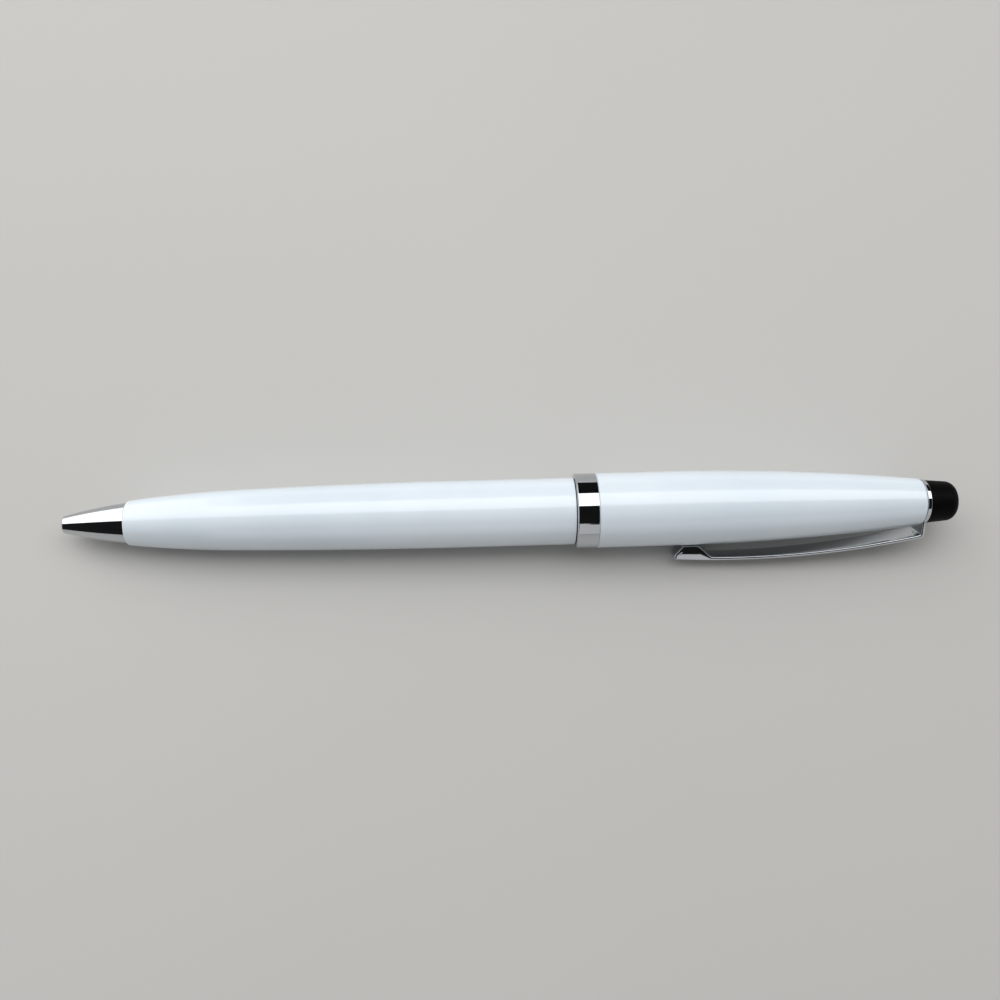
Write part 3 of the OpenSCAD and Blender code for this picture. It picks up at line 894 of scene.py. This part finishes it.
@dataclass(frozen=True)
class Refill:
    """The writing tip, which shows at the nose. Sizes are in millimetres."""

    ball_at: float = 2.1
    socket_r: float = 0.515
    rim: float = 1.9
    rim_r: float = 0.543
    cone_end: float = 3.2
    tip_r: float = 0.8
    step: float = 7.3
    body_r: float = 1.15
    body_end: float = 12.3
    shank_r: float = 1.245
    shank_end: float = 15.3
    channel_r: float = 0.35
    worked_edge: float = 0.04
    socket_steps: int = 14

    def build(self, lathe: Lathe) -> None:
        """Turns the writing tip with the socket of its ball.

        Args:
            lathe: What turns it.
        """
        mouth = math.degrees(math.asin((self.rim - self.ball_at) / self.socket_r))
        back = math.degrees(math.acos(self.channel_r / self.socket_r))
        outline = [
            *arc(self.ball_at, 0, self.socket_r, back, mouth, self.socket_steps),
            Station(self.rim, self.rim_r, self.worked_edge / 2),
            Station(self.cone_end, self.tip_r, self.worked_edge),
            Station(self.step, self.tip_r, self.worked_edge),
            Station(self.step + self.body_r - self.tip_r, self.body_r, self.worked_edge),
            Station(self.body_end, self.body_r),
            Station(self.body_end, self.shank_r),
            Station(self.shank_end, self.shank_r, self.worked_edge),
            Station(self.shank_end, self.channel_r),
        ]
        lay("writing_tip", "refill_tip", lathe.turn(outline))


def dress_solids() -> None:
    """Gives each solid the finish of its slot."""
    for node, solid in frame["nodes"].items():
        finish = FINISHES[SLOT_OF[node]]
        for place in solid.material_slots:
            place.material = finish.material()
        log.info("%s is dressed in %s", node, finish.name)


@dataclass(frozen=True)
class Panel:
    """A panel hung round the pen and facing it.

    Angles are in degrees from straight up, towards the viewer, and lengths in metres along the pen.
    """

    start: float
    end: float
    left: float
    right: float
    distance: float = 0.75

    @property
    def width(self) -> float:
        """Its width round the pen."""
        return 2 * self.distance * math.tan(math.radians(self.end - self.start) / 2)

    @property
    def place(self) -> Matrix:
        """Where it hangs, from a place flat on the pen's axis."""
        turn = Matrix.Rotation(math.radians((self.start + self.end) / 2), 4, "X")
        return turn @ Matrix.Translation(((self.left + self.right) / 2, 0, self.distance))


@dataclass(frozen=True)
class Flag(Panel):
    """A dark panel that the polished metal mirrors."""

    def hang(self, name: str) -> None:
        """Hangs the flag where only reflections meet it.

        Args:
            name: Its name.
        """
        bm = bmesh.new()
        # A square metre, which is then scaled to the flag's own size.
        bmesh.ops.create_grid(bm, x_segments=1, y_segments=1, size=0.5)
        bmesh.ops.scale(bm, vec=(self.right - self.left, self.width, 1), verts=bm.verts[:])
        bmesh.ops.transform(bm, matrix=self.place, verts=bm.verts[:])
        flag = to_object(name, bm)
        flag.data.materials.append(FLAG_CLOTH.material())
        flag.visible_camera = flag.visible_diffuse = flag.visible_shadow = False


@dataclass(frozen=True)
class SoftBox(Panel):
    """A panel that gives soft light.

    strength is the light that its face shows, where 1 is white. mirrored says whether reflections show it.
    """

    strength: float = 1.0
    mirrored: bool = True

    def hang(self, name: str) -> None:
        """Hangs the soft box.

        Args:
            name: Its name.
        """
        lamp = bpy.data.lights.new(name, "AREA")
        lamp.shape = "RECTANGLE"
        lamp.size, lamp.size_y = self.right - self.left, self.width
        lamp.energy = self.strength * math.pi * lamp.size * lamp.size_y
        box = bpy.data.objects.new(name, lamp)
        box.matrix_world = self.place
        box.visible_camera, box.visible_glossy = False, self.mirrored
        bpy.context.scene.collection.objects.link(box)


@dataclass(frozen=True)
class Studio:
    """A pale floor under three soft boxes, with dark flags that give the polished metal its contrast.

    Lengths are in metres and angles in degrees. The floor is the plane that the pen lies on: it meets the
    band's front edge and is tipped with the pen. The first soft box is the bright stripe that the metal
    mirrors, the second one, further back and to the left, lights the lacquer alone, and the third one lights
    the nose. The flags hang above on the viewer's side, low behind the pen, low before the nose and, a
    narrow one, at the clip. backdrop is the brightness that is seen and mirrored, and fill is that of the
    light from all round.
    """

    floor_size: float = 1.0
    floor_tip: float = 1.2
    band_edge: tuple[float, float] = (0.0003, 0.0058)
    boxes: tuple[SoftBox, ...] = (
        SoftBox(start=-39.35, end=0.65, left=-0.7, right=0.7, distance=0.5, strength=1.55),
        SoftBox(start=-64.0, end=8.0, left=-1.3, right=0.3, distance=0.65, strength=0.6, mirrored=False),
        SoftBox(start=-87.0, end=-39.5, left=-1.2, right=-0.3, distance=0.75, strength=1.25),
    )
    flags: tuple[Flag, ...] = (
        Flag(start=0.15, end=54.95, left=-1.1, right=1.1),
        Flag(start=-81.35, end=-38.85, left=-0.25, right=1.1),
        Flag(start=54.95, end=87.0, left=-1.2, right=-0.3),
        Flag(start=54.95, end=58.5, left=0.096, right=0.23),
    )
    backdrop: float = 0.62
    fill: float = 0.26

    def floor(self) -> None:
        """Lays the floor."""
        along, below = self.band_edge
        bm = bmesh.new()
        bmesh.ops.create_grid(bm, x_segments=2, y_segments=2, size=self.floor_size / 2)
        bmesh.ops.rotate(bm, matrix=Matrix.Rotation(math.radians(self.floor_tip), 3, "Y"), verts=bm.verts[:])
        bmesh.ops.translate(bm, vec=(along, 0, -below), verts=bm.verts[:])
        floor = to_object("floor", bm)
        floor.data.materials.append(FLOOR_PAPER.material())

    def world(self) -> None:
        """Sets a pale backdrop that is seen and mirrored, and a dimmer fill light."""
        world = bpy.data.worlds.new("studio")
        bpy.context.scene.world = world
        world.use_nodes = True
        tree = world.node_tree
        tree.nodes.clear()
        fill, backdrop = (
            add_node(tree, "ShaderNodeBackground", {"Color": (1, 1, 1, 1), "Strength": strength}).outputs[0]
            for strength in (self.fill, self.backdrop)
        )
        path = add_node(tree, "ShaderNodeLightPath")
        shown = add_node(
            tree, "ShaderNodeMath", {0: path.outputs["Is Camera Ray"], 1: path.outputs["Is Glossy Ray"]},
            operation="MAXIMUM",
        )
        mix = add_node(tree, "ShaderNodeMixShader", {0: shown.outputs[0], 1: fill, 2: backdrop})
        add_node(tree, "ShaderNodeOutputWorld", {"Surface": mix.outputs[0]})

    def build(self) -> None:
        """Sets up the floor, the panels and the world."""
        self.floor()
        for kind, panels in (("soft_box", self.boxes), ("flag", self.flags)):
            for i, panel in enumerate(panels):
                panel.hang(f"{kind}_{i}")
        self.world()
        log.info("studio is set")


@dataclass(frozen=True)
class Viewpoint:
    """Where the pen is seen from, in millimetres and degrees.

    aim is a place on the pen's axis, and rise is how far above it the middle of the picture lies. What is
    closer than nearest or beyond farthest isn't drawn.
    """

    aim: float = -11.35
    rise: float = 2.0
    distance: float = 158.45
    elevation: float = 74.65
    yaw: float = 2.2
    roll: float = 1.53
    lens: float = 36.9
    sensor: float = 36.0
    nearest: float = 5.0
    farthest: float = 20000.0

    def build(self) -> None:
        """Makes the camera."""
        elevation, yaw, roll = (math.radians(a) for a in (self.elevation, self.yaw, self.roll))
        level, drop = math.cos(elevation), math.sin(elevation)
        forward = Vector((math.sin(yaw), math.cos(yaw) * level, -math.cos(yaw) * drop))
        right = Vector((math.cos(yaw), -math.sin(yaw) * level, math.sin(yaw) * drop))
        up = right.cross(forward)
        right, up = (
            math.cos(roll) * right - math.sin(roll) * up, math.sin(roll) * right + math.cos(roll) * up,
        )
        spot = Vector((self.aim, 0, 0)) + up * self.rise - forward * self.distance
        lens = bpy.data.cameras.new("camera")
        lens.lens, lens.sensor_width = self.lens, self.sensor
        lens.clip_start, lens.clip_end = self.nearest * MM, self.farthest * MM
        camera = bpy.data.objects.new("camera", lens)
        turn = Matrix((right, up, -forward)).transposed().to_4x4()
        camera.matrix_world = Matrix.Translation(spot * MM) @ turn
        bpy.context.scene.collection.objects.link(camera)
        bpy.context.scene.camera = camera


def main() -> None:
    """Builds the pen's pieces, dresses the solids and sets up the studio."""
    logging.basicConfig(level=logging.INFO, format="%(message)s")
    bpy.context.scene.view_settings.view_transform = "Standard"
    lathe = Lathe()
    for assembly in (Barrel(), Cap(), Clip(), Refill()):
        assembly.build(lathe)
    dress_solids()
    Studio().build()
    Viewpoint().build()


if __name__ == "__main__":
    main()
